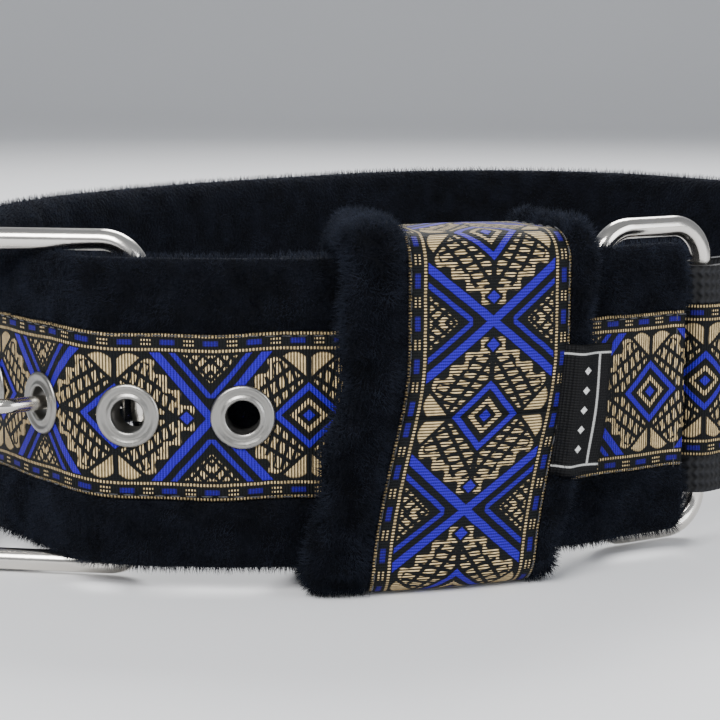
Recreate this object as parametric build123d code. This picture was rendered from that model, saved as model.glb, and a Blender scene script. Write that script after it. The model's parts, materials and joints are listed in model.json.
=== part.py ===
from build123d import *
import os
from math import acos, cos, degrees, radians, sin

# Martingale dog collar, standing on its edge, done up, in millimetres, +Z up.
# Plan view: the front strap faces -Y, the neck is inside the loop.
# The origin is on the floor, under the middle of the keeper's foot.

# ---- Strap widths (heights, as the collar stands) ----
strap_width = 46.0          # plush-covered strap
webbing_width = 38.0        # load-bearing webbing inside it
ribbon_width = 25.5         # woven ribbon on the outer face
edge_clearance = 0.7        # strap edge to the inside of a ring or buckle

# ---- Layer thicknesses ----
webbing_t = 1.4
lining_t = 1.6              # plush against the neck
facing_t = 1.0              # plush on the outer face of the long strap
under_facing_t = 0.8        # plush on the outer face of the short strap
ribbon_t = 0.5
layer_gap = 0.4             # long strap to the short strap under it

# ---- Metal ----
wire_r = 1.7                # wire of the buckle frame and both rings
bar_fit = 0.05              # webbing fold or prong eye on a bar, radial
frame_length = 40.0         # heel bar to far bar, centre to centre
frame_corner = 6.0
ring_length = 21.0
ring_corner = 6.0
prong_r = 1.15
prong_eye_wall = 1.6
prong_eye_height = 4.0
prong_slot = 9.0            # height of the slot in the webbing for the prong
prong_overhang = 6.0        # prong tip past the far bar
prong_rest_gap = 0.3        # prong to the far bar

# ---- Eyelets ----
eyelet_spacing = 17.0
eyelet_hole_r = 2.5
eyelet_flange_r = 4.9
eyelet_wall = 0.5
eyelet_rise = 0.55          # flange above the ribbon
washer_t = 0.8
eyelet_rounding = 0.22      # on the flange's rims
eyelet_fit = 0.05           # barrel in the straps, radial
eyelet_cut_reach = 2.0      # cutter past the straps' faces
eyelets_before_heel = 1
eyelets_after_heel = 3

# ---- Keeper ----
keeper_width = 38.0
keeper_wall = 3.0
keeper_edge_clearance = 0.8
keeper_face_clearance = 0.6
keeper_ribbon_width = 25.0
keeper_ribbon_shift = 2.5   # ribbon off the keeper's middle, towards the front ring
keeper_angle = 17.5         # degrees along the front arc
label_length = 20.0
label_reach = 6.0          # past the ribbon's edge
label_t = 0.6

# ---- Control loop and lead ring ----
loop_side_clearance = 1.2   # ring bar to the webbing, each side
loop_end_slack = 2.0        # ring bar to the webbing, each end
loop_ribbon_end = 3.0
d_wire_r = 1.5
d_height = 29.0             # straight bar end to end, centre of wire
d_reach = 22.0
d_corner = 3.5
d_far_flat = 1.0            # straight left at the top of the D
d_gap = 0.4                 # wire to the loop's ribbon
tab_t = 1.2
tab_width = 21.0
tab_foot = 8.0
tab_clearance = 0.35        # D wire in its fold, radial

# ---- Plan route of the straps ----
front_radius = 107.1
front_start = 34.0          # where the short strap meets its ring
front_turn = 42.8           # from there to the buckle's heel bar
tip_radius = 60.0
tip_turn = 10.0
tip_line = 1.2
heel_line = 1.0
hole_bend_r = 14.0
hole_bend_turn = 43.0
hole_line = 10.0
side_bends = [("arc", 82.0, -68.0), ("arc", 171.0, -18.0)]
back_bends = [("line", 27.0), ("arc", 50.0, -95.0), ("line", 38.0), ("arc", 109.0, -7.0)]
rear_line = 16.0

# ---- Folds of webbing round a bar ----
fold_bend_r = 10.0
tail_length = 7.0
tail_lap = 0.05             # sewn layers pressed into each other
tail_gap = 1.5              # end of a tail to the plush beside it
ring_swing_in = 5.0         # front ring turned in from the strap's line, degrees
rear_swing_in = 13.0

edge_margin = 2.0           # webbing back from the plush tip
ribbon_end_gap = 1.0
slot_reach = 5.5            # prong slot past the heel bar
slot_margin = 1.0           # plush back from the slot
prong_slope = 44.0
prong_bend_r = 4.0
prong_crest = 5.0           # top of the prong's kink above the frame

# ---- Worked-out sizes ----
opening_height = strap_width + 2 * edge_clearance
bar_height = opening_height + 2 * wire_r   # top wire to bottom wire, centre to centre
keeper_inner = strap_width + 2 * keeper_edge_clearance
keeper_outer = keeper_inner + 2 * keeper_wall
mid_z = keeper_outer / 2 + ribbon_t
inner_face = -webbing_t / 2 - lining_t
facing_face = webbing_t / 2 + facing_t
outer_face = facing_face + ribbon_t
under_outer = inner_face - layer_gap
under_core = under_outer - under_facing_t - webbing_t / 2
fold_r = wire_r + bar_fit + webbing_t / 2
bar_offset = under_core - fold_r
core_radius = front_radius + under_core
keeper_low = bar_offset - fold_r - webbing_t / 2 - keeper_face_clearance
keeper_high = outer_face + eyelet_rise + keeper_face_clearance
foot_radius = front_radius + (keeper_low + keeper_high) / 2
front_centre = (-foot_radius * sin(radians(keeper_angle)), foot_radius * cos(radians(keeper_angle)))


# ---- Plan geometry ----
def heading_vector(heading):
    return Vector(cos(radians(heading)), sin(radians(heading)))


def left_vector(heading):
    return heading_vector(heading + 90)


shortest = 0.001            # any stretch shorter than this is left out


class Run:
    """One straight or round stretch of a strap's route. A left turn is positive."""

    def __init__(self, start, heading, move):
        self.start = start
        self.heading = heading
        self.turn = move[2] if move[0] == "arc" else 0.0
        self.radius = move[1] if move[0] == "arc" else 0.0
        self.side = 1.0 if self.turn > 0 else -1.0
        self.length = self.radius * abs(radians(self.turn)) if self.turn else move[1]

    def point(self, share, offset=0.0):
        """Point at a share of the run, offset to its left."""
        if not self.turn:
            along = self.start + heading_vector(self.heading) * (self.length * share)
            return along + left_vector(self.heading) * offset
        centre = self.start + left_vector(self.heading) * (self.radius * self.side)
        left = left_vector(self.heading + self.turn * share)
        return centre - left * (self.radius * self.side - offset)

    def edge(self, offset):
        if not self.turn:
            return Line(self.point(0, offset), self.point(1, offset))
        return ThreePointArc(self.point(0, offset), self.point(0.5, offset), self.point(1, offset))


def route(start, heading, moves):
    runs = []
    for move in moves:
        runs.append(Run(start, heading, move))
        start = runs[-1].point(1)
        heading = heading + runs[-1].turn
    return runs


def route_end(runs):
    last = runs[-1]
    return last.point(1), last.heading + last.turn


def station(runs, distance):
    """Point and heading at a distance along a route."""
    for run in runs:
        if distance <= run.length:
            share = distance / run.length
            return run.point(share), run.heading + run.turn * share
        distance = distance - run.length
    return route_end(runs)


def trimmed(runs, from_start, from_end):
    """The same route with its ends cut back."""
    total = sum(run.length for run in runs)
    low, high, at, kept = from_start, total - from_end, 0.0, []
    for run in runs:
        first, last = max(low, at), min(high, at + run.length)
        if last - first > shortest:
            share = (first - at) / run.length
            kind = ("arc", run.radius, run.turn * (last - first) / run.length) if run.turn else None
            start = run.point(share)
            kept.append(Run(start, run.heading + run.turn * share, kind or ("line", last - first)))
        at = at + run.length
    return kept


def band(runs, low, high, height, foot=None):
    """A strip standing on edge between two offsets of a route."""
    near, far = [run.edge(low) for run in runs], [run.edge(high) for run in runs]
    ends = [Line(runs[0].point(0, low), runs[0].point(0, high))]
    ends.append(Line(runs[-1].point(1, low), runs[-1].point(1, high)))
    face = Face(Wire(near + far + ends))
    base = mid_z - height / 2 if foot is None else foot
    solid = extrude(face, amount=height, dir=(0, 0, 1))
    return solid.moved(Location((0, 0, base)))


def at_front(angle, radius):
    """Point on a circle about the front arc's centre; 0 degrees faces -Y."""
    x = front_centre[0] + radius * sin(radians(angle))
    return Vector(x, front_centre[1] - radius * cos(radians(angle)))


def front_band(low_angle, high_angle, low, high, height):
    moves = [("arc", front_radius, low_angle - high_angle)]
    return band(route(at_front(high_angle, front_radius), 180 + high_angle, moves), low, high, height)


def place(shape, point, heading):
    """Move a shape made about the origin, facing +X, to a point and heading in plan."""
    return shape.moved(Location((point.X, point.Y, 0), (0, 0, heading)))


# ---- The strap routes ----
tip_angle = front_start - tip_turn
front_point = at_front(front_start, front_radius)
tip_run = Run(front_point, front_start, ("arc", tip_radius, -tip_turn))
tip_point = tip_run.point(1) + heading_vector(tip_angle) * tip_line
front_moves = [("line", tip_line), ("arc", tip_radius, tip_turn), ("arc", front_radius, -front_turn)]
hole_moves = [("line", heel_line), ("arc", hole_bend_r, -hole_bend_turn), ("line", hole_line)]
strap_moves = front_moves + hole_moves + side_bends + back_bends + [("line", rear_line)]
strap = route(tip_point, 180 + tip_angle, strap_moves)
heel_distance = sum(run.length for run in strap[:3])
heel_point, heel_heading = station(strap, heel_distance)
rear_point, rear_heading = route_end(strap)
heel_angle = front_start - front_turn

# ---- Bars, in plan ----
heel_bar = heel_point + left_vector(heel_heading) * bar_offset
front_bar = at_front(front_start, front_radius + bar_offset)
front_ring_heading = front_start - ring_swing_in
front_far_bar = front_bar + heading_vector(front_ring_heading) * ring_length
rear_bar = rear_point - left_vector(rear_heading) * fold_r
rear_ring_heading = rear_heading - rear_swing_in
rear_far_bar = rear_bar + heading_vector(rear_ring_heading) * ring_length
loop_chord = rear_far_bar - front_far_bar
loop_heading = Vector(1, 0).get_signed_angle(loop_chord, Vector(0, 0, 1))
loop_middle = (rear_far_bar + front_far_bar) * 0.5
loop_out = -left_vector(loop_heading)


# ---- Folds of webbing round a bar ----
fold_drop = 2 * fold_r - webbing_t + tail_lap
fold_reach = 2 * fold_bend_r * sin(acos(1 - fold_drop / fold_bend_r / 2))
arc_sag = fold_reach ** 2 / (2 * core_radius)
arc_curve = degrees(fold_reach / core_radius)
tail_reach = fold_reach + tail_length


def fold(start, heading, side, drop, curve, tail):
    """Half a turn round a bar, an S back onto the strap, then the sewn tail."""
    swing = degrees(acos(1 - drop / fold_bend_r / 2))
    moves = [("arc", fold_r, side * 180.0), ("arc", fold_bend_r, side * swing)]
    moves = moves + [("arc", fold_bend_r, -side * (swing + curve)), tail]
    half = webbing_t / 2
    return band(route(start, heading, moves), -half, half, webbing_width)


def arc_tail(side):
    radius = core_radius - webbing_t + tail_lap
    return ("arc", radius, -side * degrees(tail_length / radius))


# ---- Eyelets and the holes for them ----
eyelet_count = eyelets_before_heel + 1 + eyelets_after_heel
eyelet_distances = [heel_distance + eyelet_spacing * (i - eyelets_before_heel) for i in range(eyelet_count)]
barrel_r = eyelet_hole_r + eyelet_wall


def facing_out(shape, distance):
    """Put a shape made about +Z, outer side up, square to the long strap."""
    point, heading = station(strap, distance)
    turned = shape.moved(Location((0, 0, 0), (-90, 0, 0)))
    return place(turned, point, heading).moved(Location((0, 0, mid_z)))


def ring_solid(inner, outer, low, high):
    ring = Cylinder(outer, high - low)
    if inner:
        ring = ring - Cylinder(inner, high - low)
    return ring.moved(Location((0, 0, (low + high) / 2)))


def eyelet_grommet():
    top = outer_face + eyelet_rise
    barrel = ring_solid(eyelet_hole_r, barrel_r, inner_face, top)
    flange = ring_solid(eyelet_hole_r, eyelet_flange_r, outer_face, top)
    grommet = barrel + flange
    rims = grommet.edges().filter_by(GeomType.CIRCLE).group_by(Axis.Z)[-1]
    return fillet(rims, eyelet_rounding)


def eyelet_washer():
    return ring_solid(barrel_r + eyelet_fit, eyelet_flange_r, inner_face, inner_face + washer_t)


def eyelet_cutter():
    hole_r = barrel_r + eyelet_fit
    hole = ring_solid(0, hole_r, inner_face - eyelet_cut_reach, outer_face + eyelet_cut_reach)
    seat = ring_solid(0, eyelet_flange_r + eyelet_fit, inner_face - eyelet_cut_reach, inner_face + washer_t)
    return hole + seat


cutters = [facing_out(eyelet_cutter(), distance) for distance in eyelet_distances]


def pierced(strip):
    for cutter in cutters:
        strip = strip - cutter
    return strip


# ---- Long strap ----
def main_webbing():
    run = band(trimmed(strap, edge_margin, 0), -webbing_t / 2, webbing_t / 2, webbing_width)
    tail = ("line", tail_length)
    return pierced(run) + fold(rear_point, rear_heading, -1, fold_drop, 0, tail)


def main_lining():
    path = trimmed(strap, 0, tail_reach + tail_gap)
    covered = trimmed(strap, edge_margin, 0)
    body = band(path, inner_face, webbing_t / 2, strap_width)
    return pierced(body - band(covered, -webbing_t / 2, webbing_t / 2, webbing_width))


def main_facing():
    return pierced(band(trimmed(strap, 0, ribbon_end_gap), webbing_t / 2, facing_face, strap_width))


def main_ribbon():
    path = trimmed(strap, edge_margin / 2, ribbon_end_gap)
    return pierced(band(path, facing_face, outer_face, ribbon_width))


# ---- Short strap, under the long one ----
def under_band(low, high, height, heel_gap=0.0, ring_gap=0.0):
    """Offsets are from the long strap's line."""
    low_angle = heel_angle + degrees(heel_gap / core_radius)
    high_angle = front_start - degrees(ring_gap / core_radius)
    return front_band(low_angle, high_angle, low, high, height)


def buckle_webbing():
    low, high = under_core - webbing_t / 2, under_core + webbing_t / 2
    heel_start = at_front(heel_angle, core_radius)
    ring_start = at_front(front_start, core_radius)
    drop = fold_drop - arc_sag
    heel_fold = fold(heel_start, heel_heading, -1, drop, arc_curve, arc_tail(-1))
    ring_fold = fold(ring_start, front_start, 1, drop, arc_curve, arc_tail(1))
    slot = Box(slot_reach + 2 * fold_r, 4 * fold_r, prong_slot)
    slot = slot.moved(Location((-slot_reach / 2 + fold_r, 0, mid_z)))
    folded = under_band(low, high, webbing_width) + heel_fold + ring_fold
    return folded - place(slot, heel_bar, heel_heading)


def buckle_lining():
    low, high = under_core - webbing_t / 2 - lining_t, under_core + webbing_t / 2
    body = under_band(low, high, strap_width, tail_reach + tail_gap, tail_reach + tail_gap)
    return body - under_band(high - webbing_t, high, webbing_width)


def buckle_facing():
    return under_band(under_outer - under_facing_t, under_outer, webbing_width, slot_reach + slot_margin, edge_margin)


# ---- Keeper, a plush loop that slides on the front arc ----
def keeper_tube(width, shift, gap, thickness):
    """A closed tube about the straps: gap from its inner face, then its own thickness."""
    half = degrees(width / 2 / front_radius)
    middle = keeper_angle + degrees(shift / front_radius)
    low_angle, high_angle = middle - half, middle + half
    past = degrees(keeper_wall / front_radius)
    height = keeper_inner + 2 * gap
    inner = front_band(low_angle - past, high_angle + past, keeper_low - gap, keeper_high + gap, height)
    low, high = keeper_low - gap - thickness, keeper_high + gap + thickness
    return front_band(low_angle, high_angle, low, high, height + 2 * thickness) - inner


def keeper_label():
    """A blank woven tab, sewn in beside the keeper's ribbon."""
    out = keeper_high + keeper_wall
    start = keeper_angle + degrees((keeper_ribbon_shift + keeper_ribbon_width / 2) / front_radius)
    end = start + degrees(label_reach / front_radius)
    return front_band(start, end, out, out + label_t, label_length)


# ---- Metal rings ----
def wire_ring(length, height, near_corner, far_corner, wire):
    """A closed wire in the XZ plane: one bar on the origin's upright, the other at +X."""
    half = height / 2
    bend_middle = 1 - cos(radians(45))
    tops = Line((0, 0, -half + near_corner), (0, 0, half - near_corner))
    far_top = (length, 0, half - far_corner)
    shapes = [tops]
    for side in (1, -1):
        near_bend = ((0, 0, side * (half - near_corner)), (near_corner, 0, side * half))
        far_bend = ((length - far_corner, 0, side * half), (length, 0, side * (half - far_corner)))
        near_mid = (near_corner * bend_middle, 0, side * (half - near_corner * bend_middle))
        far_mid = (length - far_corner * bend_middle, 0, side * (half - far_corner * bend_middle))
        shapes.append(ThreePointArc(near_bend[0], near_mid, near_bend[1]))
        if length - far_corner - near_corner > shortest:
            shapes.append(Line(near_bend[1], far_bend[0]))
        shapes.append(ThreePointArc(far_bend[0], far_mid, far_bend[1]))
    if half - far_corner > shortest:
        shapes.append(Line(far_top, (length, 0, -half + far_corner)))
    path = Wire(shapes)
    ring = None
    for edge in path.edges():
        plane = Plane(origin=edge @ 0, z_dir=edge % 0)
        piece = sweep(plane * Circle(wire), path=edge)
        ring = piece if ring is None else ring + piece
    return ring.moved(Location((0, 0, mid_z)))


def buckle_frame():
    frame = wire_ring(frame_length, bar_height, frame_corner, frame_corner, wire_r)
    return place(frame, heel_bar, heel_heading)


def front_ring():
    ring = wire_ring(ring_length, bar_height, ring_corner, ring_corner, wire_r)
    return place(ring, front_bar, front_ring_heading)


def rear_ring():
    ring = wire_ring(ring_length, bar_height, ring_corner, ring_corner, wire_r)
    return place(ring, rear_bar, rear_ring_heading)


# ---- Prong ----
prong_eye_r = wire_r + bar_fit + prong_eye_wall
prong_low = -(prong_eye_r - prong_r)
prong_high = wire_r + prong_rest_gap + prong_r


def buckle_prong():
    """Leaves the eye on its inner side, kinks up through the eyelet, then rests on the far bar."""
    hole = Vector(*hole_in_frame())
    slope = sin(radians(prong_slope)) / cos(radians(prong_slope))
    kink = hole.X - (hole.Y - prong_low) / slope
    crest = hole.X + (prong_crest - hole.Y) / slope
    tip = frame_length + prong_overhang
    points = [(0, prong_low), (kink, prong_low), (crest, prong_crest), (tip, prong_high)]
    path = FilletPolyline(*points, radius=prong_bend_r)
    rod = sweep(Plane(origin=(0, prong_low, 0), z_dir=(1, 0, 0)) * Circle(prong_r), path=path)
    point = Sphere(prong_r).moved(Location((tip, prong_high, 0)))
    eye = Cylinder(prong_eye_r, prong_eye_height)
    shape = eye + rod + point - Cylinder(wire_r + bar_fit, 2 * prong_eye_height)
    return place(shape.moved(Location((0, 0, mid_z))), heel_bar, heel_heading)


def hole_in_frame():
    """The eyelet the prong goes through, as seen from the heel bar along the frame."""
    point, heading = station(strap, heel_distance + eyelet_spacing)
    offset = point - heel_bar
    along, out = heading_vector(heel_heading), left_vector(heel_heading)
    return offset.dot(along), offset.dot(out)


# ---- Control loop ----
loop_inner = wire_r + loop_side_clearance
loop_outer = loop_inner + webbing_t


def slot_tube(inner, outer, height):
    straight = loop_chord.length + 2 * (loop_end_slack - loop_side_clearance)
    shape = SlotCenterToCenter(straight, 2 * outer) - SlotCenterToCenter(straight, 2 * inner)
    solid = extrude(shape, amount=height).moved(Location((0, 0, mid_z - height / 2)))
    return place(solid, loop_middle, loop_heading)


def loop_strip(low, high, length, height):
    """A flat strip along the loop's outer run, between two distances from its middle line."""
    strip = Box(length, high - low, height).moved(Location((0, -(low + high) / 2, mid_z)))
    return place(strip, loop_middle, loop_heading)


def loop_webbing():
    return slot_tube(loop_inner, loop_outer, webbing_width)


def loop_ribbon():
    return loop_strip(loop_outer, loop_outer + ribbon_t, loop_chord.length - loop_ribbon_end, ribbon_width)


tab_eye = d_wire_r + tab_clearance
tab_base = loop_outer + ribbon_t
d_bar = loop_middle + loop_out * (tab_base + d_wire_r + d_gap)


def loop_tab():
    """A short fold of webbing that holds the lead ring's bar on the loop."""
    feet = loop_strip(tab_base, tab_base + tab_t, 2 * (tab_eye + tab_foot), tab_width)
    eye = Cylinder(tab_eye + tab_t, tab_width).moved(Location((d_bar.X, d_bar.Y, mid_z)))
    hole = Cylinder(tab_eye, 2 * tab_width).moved(Location((d_bar.X, d_bar.Y, mid_z)))
    inner = loop_strip(tab_base - 2 * (tab_eye + tab_t), tab_base, 3 * (tab_eye + tab_t), 2 * tab_width)
    return feet + (eye - inner) - hole


def d_ring():
    ring = wire_ring(d_reach, d_height, d_corner, d_height / 2 - d_far_flat / 2, d_wire_r)
    return place(ring, d_bar, loop_heading - 90)


# ---- Nodes ----
nodes = {
    "main_webbing": main_webbing(),
    "main_lining": main_lining(),
    "main_facing": main_facing(),
    "main_ribbon": main_ribbon(),
    "eyelet_grommets": Compound([facing_out(eyelet_grommet(), d) for d in eyelet_distances]),
    "eyelet_washers": Compound([facing_out(eyelet_washer(), d) for d in eyelet_distances]),
    "buckle_webbing": buckle_webbing(),
    "buckle_lining": buckle_lining(),
    "buckle_facing": buckle_facing(),
    "buckle_frame": buckle_frame(),
    "buckle_prong": buckle_prong(),
    "keeper_plush": keeper_tube(keeper_width, 0.0, 0.0, keeper_wall),
    "keeper_ribbon": keeper_tube(keeper_ribbon_width, keeper_ribbon_shift, keeper_wall, ribbon_t),
    "keeper_label": keeper_label(),
    "front_ring": front_ring(),
    "rear_ring": rear_ring(),
    "loop_webbing": loop_webbing(),
    "loop_ribbon": loop_ribbon(),
    "loop_tab": loop_tab(),
    "d_ring": d_ring(),
}

os.makedirs("parts", exist_ok=True)
for name, shape in nodes.items():
    export_step(shape, f"parts/{name}.step")
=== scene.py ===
import json
from math import atan, cos, degrees, pi, radians, sin

import bmesh
import bpy
import numpy as np
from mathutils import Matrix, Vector


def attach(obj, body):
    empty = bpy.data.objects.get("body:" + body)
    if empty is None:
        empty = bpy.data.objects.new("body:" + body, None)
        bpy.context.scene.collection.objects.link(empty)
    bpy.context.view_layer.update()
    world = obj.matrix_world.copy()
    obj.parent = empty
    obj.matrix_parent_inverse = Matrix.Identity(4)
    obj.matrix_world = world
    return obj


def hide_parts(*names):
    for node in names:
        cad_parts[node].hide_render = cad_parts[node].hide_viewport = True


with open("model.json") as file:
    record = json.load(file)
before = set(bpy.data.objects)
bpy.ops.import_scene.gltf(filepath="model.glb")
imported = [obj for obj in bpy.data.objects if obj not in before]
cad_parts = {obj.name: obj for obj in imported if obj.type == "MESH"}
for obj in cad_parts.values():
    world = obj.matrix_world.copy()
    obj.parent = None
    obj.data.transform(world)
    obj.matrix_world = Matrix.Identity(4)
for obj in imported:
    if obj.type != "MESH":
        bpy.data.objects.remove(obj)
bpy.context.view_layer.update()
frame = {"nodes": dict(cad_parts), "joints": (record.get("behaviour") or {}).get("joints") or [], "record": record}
nodes = frame["nodes"]
joints = {joint["name"]: joint for joint in frame["joints"]}
MM = 0.001

# ---- Sizes of the collar, in millimetres ----
RIBBON_WIDTH = 25.5
LINING_FACE = -2.3          # neck side of the long strap's lining
FACING_FACE = 1.7           # outer side of its facing
RIBBON_FACE = 2.2
EYELET_SPACING = 17.0
PATTERN_LENGTH = 26.6       # one repeat of the woven pattern
PATTERN_WIDTH = 25.0


# ======================================================================
# Plan route of the long strap: straight and round stretches on edge
# ======================================================================
def unit(heading):
    return np.array([cos(radians(heading)), sin(radians(heading))])


class Run:
    """One stretch of the route. A left turn is positive, and the outer side is on the left."""

    def __init__(self, start, heading, radius, amount):
        self.start, self.heading, self.radius = start, heading, radius
        self.turn = amount if radius else 0.0
        self.side = 1.0 if self.turn > 0 else -1.0
        self.length = radius * abs(radians(amount)) if radius else amount

    def at(self, distance):
        if not self.radius:
            return self.start + unit(self.heading) * distance, self.heading
        heading = self.heading + self.turn * distance / self.length
        centre = self.start + unit(self.heading + 90) * self.radius * self.side
        return centre - unit(heading + 90) * self.radius * self.side, heading


class Route:
    def __init__(self, start, heading, moves):
        self.runs = []
        for radius, amount in moves:
            self.runs.append(Run(np.array(start), heading, radius, amount))
            start, heading = self.runs[-1].at(self.runs[-1].length)
        self.length = sum(run.length for run in self.runs)

    def at(self, distance):
        """Point and heading at a distance, carried on straight past either end."""
        if distance < 0:
            return self.runs[0].start + unit(self.runs[0].heading) * distance, self.runs[0].heading
        for run in self.runs[:-1]:
            if distance <= run.length:
                return run.at(distance)
            distance -= run.length
        return self.runs[-1].at(distance)

    def place(self, distance, out, height):
        point, heading = self.at(distance)
        x, y = point + unit(heading + 90) * out
        return (x * MM, y * MM, height * MM)


FRONT_CENTRE = np.array([joints["keeper_slide"]["pos_m"][0], joints["keeper_slide"]["pos_m"][1]]) / MM
MID_Z = joints["keeper_slide"]["pos_m"][2] / MM
FRONT_R = 107.1
FRONT_START = 34.0
FRONT_TURN = 42.8
TIP_R, TIP_TURN, TIP_LINE = 60.0, 10.0, 1.2
KEEPER_ANGLE = 17.5


def at_front(angle, radius):
    return FRONT_CENTRE + radius * np.array([sin(radians(angle)), -cos(radians(angle))])


tip_run = Run(at_front(FRONT_START, FRONT_R), FRONT_START, TIP_R, -TIP_TURN)
tip_end, tip_heading = tip_run.at(tip_run.length)
strap_start = tip_end + unit(tip_heading) * TIP_LINE
strap = Route(strap_start, 180 + tip_heading, [
    (0, TIP_LINE), (TIP_R, TIP_TURN), (FRONT_R, -FRONT_TURN), (0, 1.0), (14.0, -43.0), (0, 10.0),
    (82.0, -68.0), (171.0, -18.0), (0, 27.0), (50.0, -95.0), (0, 38.0), (109.0, -7.0), (0, 16.0)])
HEEL = sum(run.length for run in strap.runs[:3])
EYELETS = [HEEL + EYELET_SPACING * (i - 1) for i in range(5)]


def smooth(low, high, x):
    """0 below low, 1 above high, smooth between."""
    t = min(max((x - low) / (high - low), 0.0), 1.0)
    return t * t * (3 - 2 * t)


# ======================================================================
# Materials
# ======================================================================
class Value:
    """A socket that takes Python's operators and adds Math nodes."""

    def __init__(self, tree, socket):
        self.tree, self.socket = tree, socket

    def math(self, operation, *others):
        node = self.tree.nodes.new("ShaderNodeMath")
        node.operation = operation
        for slot, item in zip(node.inputs, (self,) + others):
            if isinstance(item, Value):
                self.tree.links.new(item.socket, slot)
            else:
                slot.default_value = item
        return Value(self.tree, node.outputs[0])

    def swapped(self, operation, other):
        node = self.tree.nodes.new("ShaderNodeMath")
        node.operation = operation
        node.inputs[0].default_value = other
        self.tree.links.new(self.socket, node.inputs[1])
        return Value(self.tree, node.outputs[0])

    def __add__(self, other):
        return self.math("ADD", other)

    def __radd__(self, other):
        return self.math("ADD", other)

    def __sub__(self, other):
        return self.math("SUBTRACT", other)

    def __rsub__(self, other):
        return self.swapped("SUBTRACT", other)

    def __neg__(self):
        return self.math("MULTIPLY", -1.0)

    def __mul__(self, other):
        return self.math("MULTIPLY", other)

    def __rmul__(self, other):
        return self.math("MULTIPLY", other)

    def __truediv__(self, other):
        return self.math("DIVIDE", other)

    def __abs__(self):
        return self.math("ABSOLUTE")

    def least(self, other):
        return self.math("MINIMUM", other)

    def most(self, other):
        return self.math("MAXIMUM", other)

    def sine(self):
        return self.math("SINE")

    def wave(self, period):
        return (self * (2 * pi / period)).sine()

    def fold(self, period):
        return self.math("PINGPONG", period)

    def step(self, soft):
        """1 where the value is above zero, with an edge of the given softness."""
        return (self / soft + 0.5).math("MINIMUM", 1.0).math("MAXIMUM", 0.0)


class Finish:
    """A material and one method that adds any node to it."""

    def __init__(self, name, **settings):
        self.material = bpy.data.materials.new(name)
        self.material.use_nodes = True
        self.tree = self.material.node_tree
        self.shader = self.tree.nodes["Principled BSDF"]
        for socket, value in settings.items():
            self.shader.inputs[socket.replace("_", " ")].default_value = value

    def node(self, kind, settings=None, output=0, **inputs):
        node = self.tree.nodes.new(kind)
        for key, value in (settings or {}).items():
            setattr(node, key, value)
        for key, value in inputs.items():
            slot = node.inputs[int(key[1:])] if key[0] == "i" and key[1:].isdigit() else node.inputs[key]
            if isinstance(value, Value):
                self.tree.links.new(value.socket, slot)
            else:
                slot.default_value = value
        return Value(self.tree, node.outputs[output])

    def mix(self, share, low, high):
        return self.node("ShaderNodeMix", {"data_type": "RGBA"}, 2, i0=share, i6=low, i7=high)

    def noise(self, scale, detail=3.0):
        place = self.node("ShaderNodeTexCoord", output=3)
        return self.node("ShaderNodeTexNoise", Vector=place, Scale=scale, Detail=detail)

    def uv(self):
        split = self.tree.nodes.new("ShaderNodeSeparateXYZ")
        source = self.tree.nodes.new("ShaderNodeUVMap")
        source.uv_map = "weave"
        self.tree.links.new(source.outputs[0], split.inputs[0])
        return Value(self.tree, split.outputs[0]), Value(self.tree, split.outputs[1])

    def set(self, socket, value):
        self.tree.links.new(value.socket, self.shader.inputs[socket])

    def bump(self, height, distance, strength=1.0):
        bumped = self.node("ShaderNodeBump", Height=height, Distance=distance, Strength=strength)
        self.set("Normal", bumped)


def rgb(r, g, b):
    return (r, g, b, 1.0)


def plush_finish(name, deep, lit_tip_colour, scale=1.0):
    finish = Finish(name, Roughness=0.92, Sheen_Weight=0.06, Sheen_Roughness=0.5, Specular_IOR_Level=0.12)
    finish.shader.inputs["Sheen Tint"].default_value = rgb(0.30, 0.38, 0.60)
    clumps = finish.noise(260.0 * scale, 4.0)
    pile = finish.noise(1500.0 * scale, 2.0)
    # Colour goes from the plush's own dark blue to the lit tip colour where the clump and pile noise are high, as
    # the bump does: a painted highlight on the tops of tufts
    share = (clumps * 2.2 + pile * 0.7 - 1.15).most(0.0).least(1.0)
    finish.set("Base Color", finish.mix(share, deep, lit_tip_colour))
    finish.bump(clumps * 0.6 + pile * 0.5, 0.0012, 0.9)
    return finish.material


# First colour of each: the plush's own dark blue; second colour: a painted highlight for lit tufts, not a dyed
# fibre tip
PLUSH = plush_finish("plush", rgb(0.0008, 0.0010, 0.0019), rgb(0.0036, 0.0046, 0.0085))
PILE = plush_finish("plush_pile", rgb(0.0010, 0.0013, 0.0026), rgb(0.017, 0.021, 0.034), 0.9)


def webbing_finish():
    finish = Finish("webbing", Roughness=0.7, Specular_IOR_Level=0.3)
    position = finish.tree.nodes.new("ShaderNodeTexCoord").outputs["Object"]
    split = finish.tree.nodes.new("ShaderNodeSeparateXYZ")
    finish.tree.links.new(position, split.inputs[0])
    x, y, z = (Value(finish.tree, split.outputs[i]) for i in range(3))
    ribs = z.wave(0.0016)
    picks = (x + y * 0.7 + ribs * 0.0002).wave(0.0013)
    weave = ribs * 0.5 + picks * 0.4 + 0.5
    share = weave.least(1.0).most(0.0)
    finish.set("Base Color", finish.mix(share, rgb(0.0015, 0.0015, 0.002), rgb(0.009, 0.0095, 0.012)))
    finish.bump(weave, 0.0003, 0.8)
    return finish.material


WEBBING = webbing_finish()


# ---- The woven pattern, in millimetres from its own centres ----
PICK, WARP = 0.42, 0.30     # thread spacing along and across the ribbon
FIELD_HALF = 9.55           # the patterned field, inside the borders
DIAMOND_OUT, DIAMOND_IN = 4.35, 2.15
HEART = 0.85
BAR_SLOPE = 0.80            # of the crossing bars and chevrons
LOZENGE_AT = 3.35           # from the crossing
FLOWER_DEPTH = 8.62         # from the diamond's centre to the flower's outline
BORDER_LINES = (10.0, 12.15)
BORDER_MIDDLE = 11.1


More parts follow.
